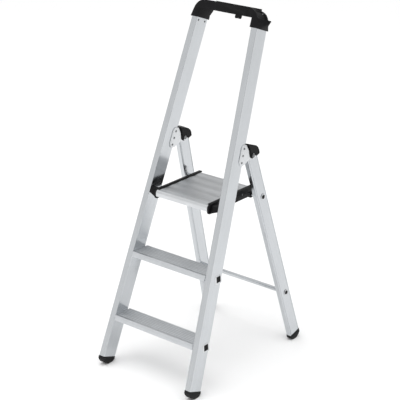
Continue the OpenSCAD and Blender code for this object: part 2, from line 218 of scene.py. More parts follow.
def tone(colour, share):
    """A colour made lighter or darker by a share of itself."""
    return tuple(min(1.0, c * share) for c in colour) + (1.0,)


def new_finish(name):
    material = bpy.data.materials.new(name)
    material.use_nodes = True
    return material, Bench(material.node_tree)


def anodised(name, colour, rough, turn, grain=(1, 1, 0.012)):
    """Satin anodised extrusion: fine die lines along the grain, faint clouding and a few rubbed marks."""
    material, bench = new_finish(name)
    lines = bench.cloud(bench.place(turn, grain), 620.0, 3.0, 0.62)
    bands = bench.cloud(bench.place(turn, (1, 1, 0.05)), 75.0, 2.0)
    clouding = bench.cloud(bench.place(turn), 6.5, 3.0, 0.6)
    rubs = bench.cloud(bench.place(turn, (1, 1, 0.22)), 58.0, 5.0, 0.72).soft(0.66, 0.74)
    shift = lines * 0.45 + bands * 0.25 + clouding * 0.3
    body = bench.blend(shift.soft(0.32, 0.68), tone(colour, 0.95), tone(colour, 1.05))
    bench.shade(
        Base_Color=bench.blend(rubs * 0.5, body, tone(colour, 0.86)),
        Metallic=1.0,
        Roughness=rough - 0.05 + lines * 0.06 + clouding * 0.05 + rubs * 0.12,
        Normal=bench.bump(lines, 0.10, 0.0002),
    )
    return material


def milled(name, colour, rough, painted_groove_shade, turn=(0, 0, 0), grain=(0.012, 1, 1)):
    """Mill finish tread metal: drawn lines, shoe scuffs, dulled patches and painted shade that darkens the
    grooves.
    """
    material, bench = new_finish(name)
    lines = bench.cloud(bench.place(turn, grain), 540.0, 3.0, 0.6)
    scuffs = bench.cloud(bench.place((0, 0, 0.9), (1, 0.12, 1)), 210.0, 4.0, 0.7).soft(0.60, 0.70)
    dulled = bench.cloud(bench.place(), 16.0, 4.0, 0.65)
    groove = bench.wire(bench.node("ShaderNodeAttribute", {"attribute_name": "groove"}), "Fac")
    body = bench.blend((lines * 0.6 + dulled * 0.4).soft(0.3, 0.7), tone(colour, 0.9), tone(colour, 1.08))
    # painted shade: the groove mark darkens the colour down to 0.3 of itself in the grooves and wave troughs
    body = bench.blend(groove * painted_groove_shade, body, tone(colour, 0.3))
    bench.shade(
        Base_Color=bench.blend(scuffs * 0.35, body, tone(colour, 0.72)),
        Metallic=1.0,
        Roughness=rough - 0.06 + lines * 0.06 + dulled * 0.1 + scuffs * 0.1 + groove * 0.08,
        Normal=bench.bump(lines + scuffs * 0.4, 0.12, 0.00025),
    )
    return material


def stamped(name, colour, rough):
    """Pressed plate: even satin with tiny tumbling marks in every direction."""
    material, bench = new_finish(name)
    marks = bench.cloud(bench.place(), 900.0, 4.0, 0.7)
    clouding = bench.cloud(bench.place(), 24.0, 3.0)
    bench.shade(
        Base_Color=bench.blend(marks * 0.5 + clouding * 0.5, tone(colour, 0.92), tone(colour, 1.06)),
        Metallic=1.0,
        Roughness=rough - 0.05 + marks * 0.05 + clouding * 0.06,
        Normal=bench.bump(marks, 0.08, 0.0002),
    )
    return material


def moulded(name, colour, rough, shine=0.14):
    """Moulded plastic: spark-eroded grain, faint flow clouding and dry dusty rubs."""
    material, bench = new_finish(name)
    grain = bench.cloud(bench.place(), 1300.0, 2.0, 0.6)
    clouding = bench.cloud(bench.place(), 14.0, 3.0, 0.6)
    dust = bench.cloud(bench.place(), 46.0, 5.0, 0.7).soft(0.56, 0.74)
    body = bench.blend(clouding.soft(0.3, 0.7), tone(colour, 0.8), tone(colour, 1.35))
    bench.shade(
        Base_Color=bench.blend(dust * 0.25, body, tone(colour, 3.0)),
        Specular_IOR_Level=shine,
        Roughness=rough - 0.06 + clouding * 0.08 + dust * 0.1,
        Normal=bench.bump(grain, 0.22, 0.0003),
    )
    return material


def gum(name, colour):
    """Foot rubber: matt, finely pitted, dusted with floor dirt towards the sole."""
    material, bench = new_finish(name)
    pits = bench.cloud(bench.place(), 1000.0, 3.0, 0.7)
    specks = bench.cloud(bench.place(), 160.0, 4.0, 0.7)
    parts = bench.node("ShaderNodeSeparateXYZ", {}, {0: bench.place()})
    worn = (1 - bench.wire(parts, 2).soft(0.001, 0.016)) * specks.soft(0.35, 0.7)
    bench.shade(
        Base_Color=bench.blend(worn * 0.55, tone(colour, 1.0), (0.10, 0.098, 0.092, 1.0)),
        Specular_IOR_Level=0.25,
        Roughness=0.62 + specks * 0.12 + worn * 0.1,
        Normal=bench.bump(pits, 0.3, 0.0003),
    )
    return material


# ---- shapes


class Placing:
    """Local axes (across, behind, along) set in the stool; it maps whole arrays of points."""

    def __init__(self, origin, across, behind, along, side=1):
        self.origin = np.array(origin, float)
        self.axes = np.array([across, behind, along], float)
        self.side = side

    def __call__(self, across, behind, along):
        local = np.stack(np.broadcast_arrays(across, behind, along), -1).astype(float)
        points = self.origin + local @ self.axes
        points[..., 0] *= self.side
        return points


def grid_faces(rows, cols):
    """Quads between neighbouring rows of a grid whose columns run round a closed ring."""
    i, j = np.meshgrid(np.arange(rows - 1), np.arange(cols), indexing="ij")
    near, far = i * cols, (i + 1) * cols
    turn = (j + 1) % cols
    return np.stack([near + j, near + turn, far + turn, far + j], -1).reshape(-1, 4)


class Shell:
    """Collects closed skins into one mesh, each with its faces turned outwards."""

    def __init__(self):
        self.points = []
        self.faces = []
        self.marks = []
        self.count = 0

    def skin(self, rows, caps=True, loop=False, marks=0.0):
        """rows is (rows, ring, 3): rings joined by quads, capped at both ends or joined into a loop.
        marks says for each point of a ring how deep it lies in a groove, from 0 to 1; the milled finish
        darkens these points as painted shade.
        Its signed volume, the sum of each face fan's a . (b x c) / 6, tells whether to turn it over."""
        rows = np.asarray(rows, float)
        if loop:
            rows = np.concatenate([rows, rows[:1]])
        count, ring = rows.shape[:2]
        flat = rows.reshape(-1, 3)
        quads = grid_faces(count, ring)
        faces = quads.tolist()
        fans = [quads[:, [0, 1, 2]], quads[:, [0, 2, 3]]]
        if caps and not loop:
            first, last = np.arange(ring)[::-1], np.arange(ring) + (count - 1) * ring
            faces += [first.tolist(), last.tolist()]
            for cap in (first, last):
                fans.append(np.stack([np.full(ring - 2, cap[0]), cap[1:-1], cap[2:]], 1))
        fans = flat[np.concatenate(fans)]
        volume = np.einsum("ij,ij->i", fans[:, 0], np.cross(fans[:, 1], fans[:, 2])).sum()
        if volume < 0:
            faces = [face[::-1] for face in faces]
        self.faces += [[index + self.count for index in face] for face in faces]
        self.points.append(flat)
        self.marks.append(np.broadcast_to(marks, (count, ring)).ravel())
        self.count += len(flat)
        return self

    def build(self, name, material, body, slot, nodes, crease=40):
        """Makes the object, merges its seams and poles, and hands it to the frame."""
        mesh = bpy.data.meshes.new(name)
        mesh.from_pydata(np.concatenate(self.points).tolist(), [], self.faces)
        marks = np.concatenate(self.marks)
        # the groove attribute carries the painted-shade marks to the milled finish
        if marks.any():
            mesh.attributes.new("groove", "FLOAT", "POINT").data.foreach_set("value", marks)
        return finish_piece(name, mesh, material, body, nodes, crease)


def finish_piece(name, mesh, material, body, nodes, crease):
    work = bmesh.new()
    work.from_mesh(mesh)
    bmesh.ops.remove_doubles(work, verts=work.verts, dist=2e-6)
    bmesh.ops.dissolve_degenerate(work, edges=work.edges, dist=1e-7)
    work.to_mesh(mesh)
    work.free()
    if not mesh.polygons:
        raise RuntimeError(f"{name} came out empty")
    mesh.polygons.foreach_set("use_smooth", np.ones(len(mesh.polygons), bool))
    mesh.set_sharp_from_angle(angle=radians(crease))
    mesh.materials.append(material)
    mesh.update()
    piece = bpy.data.objects.new(name, mesh)
    bpy.context.scene.collection.objects.link(piece)
    if nodes:
        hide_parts(*nodes)
    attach(piece, body)
    return piece


def softened(node, name, material, body, width, crease=40):
    """A frame node's own shape with its triangles merged into flats and its edges rounded off."""
    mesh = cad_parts[node].data.copy()
    mesh.materials.clear()
    work = bmesh.new()
    work.from_mesh(mesh)
    bmesh.ops.remove_doubles(work, verts=work.verts, dist=2e-6)
    bmesh.ops.dissolve_limit(work, angle_limit=radians(0.8), verts=work.verts, edges=work.edges)
    work.to_mesh(mesh)
    work.free()
    rough = bpy.data.objects.new(name + "_rough", mesh)
    bpy.context.scene.collection.objects.link(rough)
    edge = rough.modifiers.new("edge", "BEVEL")
    edge.limit_method = "ANGLE"
    edge.angle_limit = radians(28)
    edge.width = width
    edge.segments = 2
    edge.use_clamp_overlap = True
    bpy.context.view_layer.update()
    seen = rough.evaluated_get(bpy.context.evaluated_depsgraph_get())
    done = bpy.data.meshes.new_from_object(seen)
    bpy.data.objects.remove(rough)
    return finish_piece(name, done, material, body, [node], crease)


def left_of(points):
    """Unit normals to the left of each edge that leaves a point."""
    step = np.roll(points, -1, 0) - points
    step /= np.maximum(np.linalg.norm(step, axis=1, keepdims=True), 1e-12)
    return np.stack([-step[:, 1], step[:, 0]], 1)


def inset(points, gap):
    """Outline moved inwards by gap: each corner slides along its mitre, the sum of the two edge
    normals divided by one plus their cosine."""
    after = left_of(points)
    before = np.roll(after, 1, 0)
    area = (points[:, 0] * np.roll(points[:, 1], -1) - points[:, 1] * np.roll(points[:, 0], -1)).sum()
    share = np.maximum(1 + (after * before).sum(1, keepdims=True), 0.35)
    return points + np.sign(area) * gap * (after + before) / share


def soften(points, cut, steps=4, closed=True):
    """Corners rounded by a parabola from cut before to cut after each corner:
    (1 - t)^2 A + 2 t (1 - t) corner + t^2 B. An open chain keeps its two end points."""
    points = np.asarray(points, float)
    corner = points if closed else points[1:-1]
    before = np.roll(points, 1, 0) if closed else points[:-2]
    after = np.roll(points, -1, 0) if closed else points[2:]
    back, ahead = before - corner, after - corner
    back_len = np.linalg.norm(back, axis=1, keepdims=True)
    ahead_len = np.linalg.norm(ahead, axis=1, keepdims=True)
    reach = np.minimum(np.minimum(cut, back_len * 0.45), ahead_len * 0.45)
    start = corner + back / back_len * reach
    end = corner + ahead / ahead_len * reach
    t = np.linspace(0, 1, steps + 1)[None, :, None]
    curve = (1 - t) ** 2 * start[:, None] + 2 * t * (1 - t) * corner[:, None] + t ** 2 * end[:, None]
    curve = curve.reshape(-1, 2)
    return curve if closed else np.concatenate([points[:1], curve, points[-1:]])


def arc(centre, radius, start, end, count):
    """Points on a circle from one angle to another, in degrees."""
    t = np.radians(np.linspace(start, end, count))
    return np.stack([centre[0] + radius * np.cos(t), centre[1] + radius * np.sin(t)], 1)


def rounded_box(x0, y0, x1, y1, r, edge=2, steps=5):
    """Outline of a rectangle with round corners; its sides are cut into edge lengths."""
    turns = [arc((x1 - r, y0 + r), r, -90, 0, steps), arc((x1 - r, y1 - r), r, 0, 90, steps),
             arc((x0 + r, y1 - r), r, 90, 180, steps), arc((x0 + r, y0 + r), r, 180, 270, steps)]
    share = np.linspace(0, 1, edge + 1)[1:-1, None]
    runs = [turn[-1] + (following[0] - turn[-1]) * share
            for turn, following in zip(turns, turns[1:] + turns[:1])]
    return np.concatenate([part for pair in zip(turns, runs) for part in pair])


def edge_profile(low, high, r, steps=3):
    """(inset, height) steps of a plate with both edges rounded: inset r (1 - sin t) at a height
    r (1 - cos t) from each face."""
    t = np.linspace(0, pi / 2, steps + 1)
    rise = np.stack([r * (1 - np.sin(t)), low + r * (1 - np.cos(t))], 1)
    fall = np.stack([rise[::-1, 0], low + high - rise[::-1, 1]], 1)
    return np.concatenate([rise, fall])


def plate(shell, outline, profile, place, cut=0.0, steps=3):
    """A plate: the outline is set in by each step of the profile, rounded at its corners and
    raised to that step's height; place(p, q, height) sets the points in the stool."""
    rows = []
    for gap, height in profile:
        ring = inset(np.asarray(outline, float), gap)
        if cut:
            ring = soften(ring, cut, steps)
        rows.append(place(*ring.T, height))
    return shell.skin(rows)


def turned(shell, profile, centre, axis, around=28, side=1):
    """A turned part: each (radius, distance) of the profile goes round the axis."""
    axis = np.array(axis, float)
    first = np.cross(axis, (0.0, 0.31, 0.95))
    first /= np.linalg.norm(first)
    second = np.cross(axis, first)
    t = np.linspace(0, 2 * pi, around, endpoint=False)
    ring = np.cos(t)[:, None] * first + np.sin(t)[:, None] * second
    radius, distance = np.array(profile, float).T
    rows = np.array(centre) + radius[:, None, None] * ring + distance[:, None, None] * axis
    rows[..., 0] *= side
    return shell.skin(rows)


def web(at, skin, foot):
    """Four points of a rib under a plate: from the plate's skin down to the foot and back."""
    return [(at, -skin), (at - 0.001, -foot), (at - 0.003, -foot), (at - 0.004, -skin)]


def dome_profile(r, h, steps=6):
    """(radius, height) of a rivet head: a short upright edge, then a quarter ellipse to the pole."""
    t = np.linspace(0, pi / 2, steps + 1)
    return [(r * 0.98, -0.0002)] + [(max(r * cos(a), 0.0), h * (0.15 + 0.85 * sin(a))) for a in t]


# ---- where things are


class Layout:
    """Places worked out from the boxes of the frame's nodes."""

    def __init__(self, sizes):
        self.sizes = sizes
        lean, taper = sizes.front_lean, sizes.front_taper
        step_low = corners("lower_step")[0]
        self.floor_line = step_low[1] - step_low[2] * tan(lean)
        low, high = corners("right_front_stile")
        self.stile_end = (low[2] + sizes.stile_depth * sin(lean)) / cos(lean)
        self.front_half = high[0] + self.stile_end * tan(taper)
        low, high = corners("right_rear_leg")
        self.leg_end = low[2] / cos(sizes.rear_lean)
        self.rear_half = high[0] + self.leg_end * tan(sizes.rear_taper)
        leg_back = sizes.leg_depth * cos(sizes.rear_lean)
        self.rear_line = high[1] - leg_back + self.leg_end * sin(sizes.rear_lean)
        low, high = corners("right_pivot_pin")
        self.pin = (low + high) / 2
        self.pin_span = (low[0], high[0])
        low, high = corners("upper_cross_tube")
        self.upper_tube = (low + high) / 2
        low, high = corners("lower_cross_tube")
        self.lower_tube = (low + high) / 2

    def front(self, y, z):
        """(behind, along) of a point in the plane of the front frame."""
        lean = self.sizes.front_lean
        y = y - self.floor_line
        return y * cos(lean) - z * sin(lean), y * sin(lean) + z * cos(lean)

    @staticmethod
    def tube(half, line, lean, taper, side):
        """Axes of a slanted tube: across from its outer face, behind its front face, along it."""
        across = np.array([cos(taper), sin(taper) * sin(lean), sin(taper) * cos(lean)])
        behind = np.array([0, cos(lean), -sin(lean)])
        up = np.array([-sin(taper), cos(taper) * sin(lean), cos(taper) * cos(lean)])
        return Placing((half, line, 0), across, behind, up, side)

    def stile(self, side):
        lean, taper = self.sizes.front_lean, self.sizes.front_taper
        return self.tube(self.front_half, self.floor_line, lean, taper, side)

    def leg(self, side):
        lean, taper = -self.sizes.rear_lean, self.sizes.rear_taper
        return self.tube(self.rear_half, self.rear_line, lean, taper, side)

    def leg_face(self, point):
        """How far from the middle the rear leg's outer face is at a point."""
        lean = self.sizes.rear_lean
        along = -(point[1] - self.rear_line) * sin(lean) + point[2] * cos(lean)
        return self.rear_half - along * tan(self.sizes.rear_taper)

    def inner_face(self, y, z, gap=0.0001):
        """How far from the middle the stile's inner face is at a point."""
        taper = self.sizes.front_taper
        along = self.front(y, z)[1]
        return self.front_half - (self.sizes.stile_width + gap) / cos(taper) - along * tan(taper)


# ---- operators


def finish(name, maker, *values):
    """A finish by name, made the first time it is asked for."""
    return bpy.data.materials.get(name) or maker(name, *values)


def black(context):
    look = context.scene.stool_finish
    return finish("moulded_black", moulded, look.plastic, look.plastic_rough)


def rivet_steel(context):
    return finish("rivet_steel", stamped, context.scene.stool_finish.steel, 0.34)


def plate_metal(context):
    return finish("pressed_plate", stamped, context.scene.stool_finish.pressed, 0.27)


def paint(node, material):
    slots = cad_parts[node].material_slots
    if not slots:
        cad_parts[node].data.materials.append(material)
    for slot in slots:
        slot.material = material


class STOOL_OT_tubes(bpy.types.Operator):
    """Anodised finish on the stiles, rear legs and cross tubes, with the grain along each"""

    bl_idname = "stool.tubes"
    bl_label = "Tubes"

    def execute(self, context):
        sizes, look = context.scene.stool_sizes, context.scene.stool_finish
        turns = {"stile_anodised": (sizes.front_lean, 0, 0), "leg_anodised": (-sizes.rear_lean, 0, 0)}
        groups = {"stile_anodised": ["left_front_stile", "right_front_stile"],
                  "leg_anodised": ["left_rear_leg", "right_rear_leg"]}
        for name, nodes in groups.items():
            material = finish(name, anodised, look.anodised, look.tube_rough, turns[name])
            for node in nodes:
                paint(node, material)
        cross = finish("cross_anodised", anodised, look.anodised, look.tube_rough, (0, 0, 0), (0.012, 1, 1))
        for node in ("upper_cross_tube", "lower_cross_tube"):
            paint(node, cross)
        return {"FINISHED"}


class STOOL_OT_treads(bpy.types.Operator):
    """Ribbed treads between the stiles, each with a sloping front lip and a turned back edge"""

    bl_idname = "stool.treads"
    bl_label = "Treads"

    def execute(self, context):
        sizes, look = context.scene.stool_sizes, context.scene.stool_finish
        layout = Layout(sizes)
        slope = tan(sizes.front_lean)
        skin, hem, lip_gap = 0.0036, 0.0122, 0.0017
        metal = finish("tread_milled", milled, look.milled, look.tread_rough, 0.5)
        for node, name in (("lower_step", "lower_ribbed_tread"), ("upper_step", "upper_ribbed_tread")):
            low, high = corners(node)
            top, lip = high[2], high[2] - low[2]
            front = layout.floor_line + top * slope
            depth = high[1] - front
            start, end = 0.0068, depth - 0.0040
            y = np.linspace(start, end, sizes.tread_ribs * 14 + 1)
            turn = (y - start) / (end - start) * sizes.tread_ribs * 2 * pi
            groove = (0.5 - 0.5 * np.cos(turn)) ** 1.6
            grip = np.stack([y, -sizes.rib_depth * groove], 1)
            foot = -lip * slope
            chain = [(end, 0), (depth - 0.0012, 0), (depth, -0.0012), (depth, -0.014),
                     (depth - 0.0075, -0.014),
                     (depth - 0.0075, -hem), (depth - 0.0018, -hem), (depth - 0.0018, -skin),
                     *web(0.0590, skin, 0.010), *web(0.0300, skin, 0.010),
                     (0.0028, -skin), (0.0022 + foot, 0.0018 - lip), (0.0090 + foot, 0.0018 - lip),
                     (0.0090 + foot, -lip), (foot, -lip), (0, 0), (start, 0)]
            outline = np.concatenate([grip, soften(chain, 0.0009, 3, closed=False)[1:-1]])
            on_lip = (outline[:, 0] < 0.001) & (outline[:, 1] < -0.0015)
            y, z = front + outline[:, 0], top + outline[:, 1]
            wide = layout.inner_face(y, z) - on_lip * lip_gap
            rows = [np.stack([side * wide, y, z], 1) for side in (-1, 1)]
            # painted shade: the rib groove depths become marks that darken the grooves
            painted_groove_shade = np.zeros(len(outline))
            painted_groove_shade[:len(groove)] = groove
            Shell().skin(rows, marks=painted_groove_shade).build(name, metal, "front_frame", "tread_aluminium", [node], 30)
        return {"FINISHED"}


class STOOL_OT_deck(bpy.types.Operator):
    """Platform deck: soft waves front to back, fine ribs at the nose and a deep front lip"""

    bl_idname = "stool.deck"
    bl_label = "Deck"

    def execute(self, context):
        sizes, look = context.scene.stool_sizes, context.scene.stool_finish
        fine_grooves, ripples, skin, foot, rebate = 3, 12, 0.0046, 0.013, 0.0014
        metal = finish("deck_milled", milled, look.deck, look.tread_rough, 0.2)
        low, high = corners("platform_deck")
        top, front = high[2], low[1]
        lip, depth = top - low[2], high[1] - low[1]
        start, end, round_r = 0.030, depth - 0.014, sizes.nose_round
        nose = arc((round_r, -round_r), round_r, 180, 90, 13)
        grip = np.linspace(round_r + 0.001, start - 0.001, fine_grooves * 12 + 1)
        turn = (grip - grip[0]) / (grip[-1] - grip[0]) * fine_grooves * 2 * pi
        fine = (0.5 - 0.5 * np.cos(turn)) ** 2
        grip = np.stack([grip, -0.0009 * fine], 1)
        y = np.linspace(start, end, sizes.deck_waves * 80 + 1)[1:]
        share = (y - start) / (end - start)
        wave = 0.5 - 0.5 * np.cos(share * sizes.deck_waves * 2 * pi)
        ripple = 0.5 - 0.5 * np.cos(share * sizes.deck_waves * ripples * 2 * pi)
        waves = np.stack([y, -sizes.wave_depth * wave - 0.00012 * ripple], 1)
        crown = np.concatenate([nose, grip, waves])
        chain = [(end, crown[-1, 1]), (depth, 0), (depth, -0.0093), (depth - 0.0025, -0.0093),
                 (depth - 0.0025, -skin), *web(0.165, skin, foot), *web(0.085, skin, foot),
                 (round_r + 0.001, -skin), (0.0052, -0.0080), (0.0028, -round_r - 0.001),
                 (0.0028, -lip + 0.0018), (0.0090, -lip + 0.0018), (0.0090, -lip), (0, -lip), (0, -round_r)]
        outline = np.concatenate([crown, soften(chain, 0.0009, 3, closed=False)[1:-1]])
        crest = outline[:, 1]
        sunk = np.where(outline[:, 0] > round_r, np.minimum(crest, -rebate), crest)
        edge = high[0] - sizes.rim_lap
        step = 0.0001
        rows = [np.stack([np.full(len(outline), x), front + outline[:, 0], top + level], 1)
                for x, level in ((low[0], sunk), (-edge, sunk), (step - edge, crest),
                                 (edge - step, crest), (edge, sunk), (high[0], sunk))]
        # painted shade: the nose grooves and the wave troughs are marked to be darkened
        painted_groove_shade = np.zeros(len(outline))
        painted_groove_shade[len(nose):len(crown)] = np.concatenate([fine, wave])
        shell = Shell().skin(rows, marks=painted_groove_shade)
        shell.build("wave_deck", metal, "platform", "tread_aluminium", ["platform_deck"], 30)
        return {"FINISHED"}


class STOOL_OT_side_frames(bpy.types.Operator):
    """Black frames along both sides of the platform, with a raised rim and an eye round the cross tube"""

    bl_idname = "stool.side_frames"
    bl_label = "Side frames"

    def execute(self, context):
        for word in SIDES:
            softened(f"{word}_side_frame", f"{word}_deck_frame", black(context), "platform",
                     0.0008)
        return {"FINISHED"}


class STOOL_OT_step_ends(bpy.types.Operator):
    """Flared flanges on the stiles where each tread ends, with a square insert in each"""

    bl_idname = "stool.step_ends"
    bl_label = "Step ends"

    def execute(self, context):
        sizes = context.scene.stool_sizes
        layout = Layout(sizes)
        half, above, opening, insert = 0.019, 0.016, 0.0116, 0.0114
        below_top, behind_front = 0.020, 0.049
        turn = sizes.front_lean
        outer = rounded_box(-half, -half, half, above, 0.007, 3, 7)
        inner = rounded_box(-opening, -opening, opening, opening, 0.002, 3, 7)
        dish = rounded_box(-insert, -insert, insert, insert, 0.0018, 2, 5)
        rings = [(outer, 0.0, 0.00005), (outer, 0.0, 0.0004), (outer, 0.0006, 0.0010),
                 (outer, 0.0030, 0.0012), (inner, -0.0016, 0.0021), (inner, -0.0006, 0.0022),
                 (inner, 0.0, 0.0018), (inner, 0.0, 0.00005)]
        profile = [(0, 0.00005), (0, 0.0011), (0.0006, 0.0017), (0.0022, 0.0017), (0.0030, 0.0007)]
        flanges, plugs = Shell(), Shell()
        for node in ("lower_step", "upper_step"):
            z = corners(node)[1][2] - below_top
            y = layout.floor_line + behind_front + z * tan(sizes.front_lean)
            behind, along = layout.front(y, z)
            centre = along / cos(sizes.front_taper)
            for side in SIDES.values():
                stile = layout.stile(side)

                def upright(p, q, height, stile=stile, behind=behind, centre=centre):
                    back = behind + p * cos(turn) - q * sin(turn)
                    return stile(height, back, centre + p * sin(turn) + q * cos(turn))

                rows = [upright(*inset(ring, gap).T, height) for ring, gap, height in rings]
                flanges.skin(rows, loop=True)
                plate(plugs, dish, profile, upright)
        flanges.build("step_flanges", plate_metal(context), "front_frame", "plate_aluminium",
                      ["step_end_flanges"], 30)
        plugs.build("step_inserts", black(context), "front_frame", "black_plastic", ["step_end_plugs"], 30)
        return {"FINISHED"}


def boot(shell, tube, width, depth, top, sole, floor_slope, taper, skin):
    """A rubber boot: a rounded rectangle carried down from its rim to an arc sole. At a distance
    behind the front, the sole is at centre - sqrt(radius^2 - offset^2), kept above the floor line.
    Heights are level across the stool: along the slanted tube, (height - across sin) / cos."""
    ring = rounded_box(-width - skin, -skin, skin, depth + skin, 0.0045, 18, 6)
    middle = depth / 2
    lift = sole - 0.00035
    centre = (lift + middle * sin(floor_slope)) / cos(floor_slope)

    def place(across, behind, height):
        return tube(across, behind, (height - across * sin(taper)) / cos(taper))

    def under(behind):
        round_sole = centre - np.sqrt(np.maximum(sole ** 2 - (behind - middle) ** 2, 0))
        return np.maximum(round_sole, behind * tan(floor_slope))

    rows = [place(*inset(ring, gap).T, top - drop)
            for gap, drop in ((0.0022, 0.0), (0.0010, 0.0001), (0.0003, 0.0005), (0.0, 0.0012),
                              (0.0, 0.0042), (0.00035, 0.0046), (0.00035, 0.0054), (0.0, 0.0058))]
    for share in (0.25, 0.5, 0.75):
        bottom = under(ring[:, 1]) + 0.0012
        rows.append(place(*ring.T, (top - 0.0058) * (1 - share) + bottom * share))
    for gap, drop in ((0.0, 0.0012), (0.0004, 0.0004), (0.0011, 0.0)):
        rows.append(place(*inset(ring, gap).T, under(ring[:, 1]) + drop))
    inner = inset(ring, 0.0011)
    across = (inner[:, 0].max() + inner[:, 0].min()) / 2
    tread = 0.5 - 0.5 * np.cos((inner[:, 1] - middle) / 0.0055 * 2 * pi)
    for share, dip in ((0.86, 0.0), (0.80, 0.0008), (0.2, 0.0008), (0.0, 0.0008)):
        spread = across + (inner[:, 0] - across) * share
        rows.append(place(spread, inner[:, 1], under(inner[:, 1]) + dip * tread ** 2))
    return shell.skin(rows)


class STOOL_OT_feet(bpy.types.Operator):
    """Rubber boots on the stiles and rear legs, with a lip round the tube and a ribbed round sole"""

    bl_idname = "stool.feet"
    bl_label = "Feet"

    def execute(self, context):
        sizes, look = context.scene.stool_sizes, context.scene.stool_finish
        layout = Layout(sizes)
        rubber = finish("foot_gum", gum, look.rubber)
        for word, side in SIDES.items():
            front = boot(Shell(), layout.stile(side), sizes.stile_width, sizes.stile_depth, layout.stile_end,
                         sizes.front_sole, sizes.front_lean, sizes.front_taper, sizes.foot_skin)
            front.build(f"{word}_front_boot", rubber, "front_frame", "foot_rubber", [f"{word}_front_foot"])
            rear = boot(Shell(), layout.leg(side), sizes.leg_width, sizes.leg_depth, layout.leg_end,
                        sizes.rear_sole, -sizes.rear_lean, sizes.rear_taper, sizes.foot_skin)
            rear.build(f"{word}_rear_boot", rubber, "rear_frame", "foot_rubber", [f"{word}_rear_foot"])
        return {"FINISHED"}


PLATE_SHAPE = [(-79, -33), (-79, 20), (-73, 31), (-59, 34), (3, 33), (17, 24), (24, 6), (14, -6), (8, -12),
               (-1, -14), (-9, -14), (-20, -18), (-32, -28), (-46, -40), (-56, -45), (-64, -46), (-71, -44)]
CAP_TOP = [(-53, 37), (3, 38), (15, 34), (24, 27), (31, 16), (32, 12), (20, 2), (18.5, 0.7)]
CAP_UNDER = [(28, 14), (21.5, 24.5), (13, 31.2), (2, 35.2), (-53, 34.2)]
CAP_FOOT = [(-1.4, -11.7), (-9, -12), (-15, -10), (-20, -5), (-38, 29), (-53, 33.5)]


class STOOL_OT_hinges(bpy.types.Operator):
    """Hinge plates both sides of each stile, their rivets, the black caps, the pins and washers"""

    bl_idname = "stool.hinges"
    bl_label = "Hinges"

    def execute(self, context):
        sizes = context.scene.stool_sizes
        layout = Layout(sizes)
        wide, thick = sizes.stile_width, 0.0025
        cheek, rivet_back, pin_bore = 0.0026, 0.0625, 9.5
        behind, along = layout.front(layout.pin[1], layout.pin[2])
        along = along / cos(sizes.front_taper) + wide / 2 * sin(sizes.front_taper)
        plate_shape = np.array(PLATE_SHAPE) * MM
        notch = arc((0, 0), pin_bore, 31, 238, 22)
        cap_shape = np.concatenate([np.array(CAP_TOP), notch, np.array(CAP_FOOT)]) * MM
        rivets, washers = Shell(), Shell()
        for word, side in SIDES.items():
            stile = layout.stile(side)

            def outward(p, q, height, stile=stile):
                return stile(height, behind + p, along + q)

            def inward(p, q, height, stile=stile):
                return stile(-wide - height, behind + p, along + q)

            for name, face in (("outer", outward), ("inner", inward)):
                shell = Shell()
                plate(shell, plate_shape, edge_profile(0.00005, thick, 0.0007), face, 0.0035, 4)
                shell.build(f"{word}_{name}_plate", plate_metal(context), "front_frame", "plate_aluminium",
                            [f"{word}_{name}_hinge_plate"], 30)
            shell = Shell()
            raised = [(0.0008, 0.0), (0.0, 0.0007), (0.0, 0.0024), (0.0003, 0.0029), (0.0010, 0.0032),
                      (0.0026, 0.0032), (0.0031, 0.0025)]
            panel = [(gap, thick + 0.0002 + height) for gap, height in raised]
            for face in (outward, inward):
                plate(shell, cap_shape, panel, face)
            crest = np.array(CAP_TOP[:6] + CAP_UNDER) * MM
            span = edge_profile(-wide - thick - cheek, thick + cheek, 0.0004)
            plate(shell, crest, span, outward)
            shell.build(f"{word}_cap", black(context), "front_frame", "black_plastic",
                        [f"{word}_hinge_cap"], 30)
            for shift in (-34, -8, 18):
                for face, way in ((thick, 1), (-wide - thick, -1)):
                    spot = np.array([face, behind - rivet_back, along + shift * MM])
                    turned(rivets, dome_profile(0.0042, 0.0018), stile.origin + spot @ stile.axes,
                           stile.axes[0] * way, 24, side)
            inner, outer = layout.pin_span
            y, z = layout.pin[1:]
            profile = [(0.0070, 0), (0.0075, 0.0003), (0.0075, 0.0014), (0.0070, 0.0017), (0.005, 0.0017)]
            far = outer - inner
            profile += [(0.005, far - 0.0030), (0.0070, far - 0.0030), (0.0075, far - 0.0027),
                        (0.0075, far - 0.0016), (0.0071, far - 0.0014), (0.0060, far - 0.0013),
                        (0.0054, far - 0.0006), (0.0036, far - 0.0001), (0.0026, far),
                        (0.0020, far - 0.0006), (0.0, far - 0.0006)]
            shell = turned(Shell(), profile, (inner, y, z), (1, 0, 0), 40, side)
            shell.build(f"{word}_pin", rivet_steel(context), "front_frame", "bright_steel",
                        [f"{word}_pivot_pin"], 30)
            leg_face = layout.leg_face(layout.pin)
            for x in (leg_face + 0.00085, leg_face - sizes.leg_width - 0.00165):
                ring = [(0.0053, 0), (0.0082, 0), (0.0085, 0.0002), (0.0085, 0.0006), (0.0082, 0.0008),
                        (0.0053, 0.0008), (0.00515, 0.0004)]
                washers.skin(ring_rows(ring, (x, y, z), side), loop=True)
        rivets.build("plate_rivets", rivet_steel(context), "front_frame", "bright_steel", ["hinge_rivets"])
        washers.build("pin_washers", rivet_steel(context), "front_frame", "bright_steel", ["pivot_washers"])
        return {"FINISHED"}


def ring_rows(ring, centre, side, around=32):
    """A closed ring section (radius, distance) carried round the X axis through centre."""
    t = np.linspace(0, 2 * pi, around, endpoint=False)
    radius, distance = np.array(ring, float).T
    x = np.broadcast_to(centre[0] + distance[:, None], (len(ring), around))
    y = centre[1] + radius[:, None] * np.cos(t)
    z = centre[2] + radius[:, None] * np.sin(t)
    return np.stack([x * side, y, z], -1)


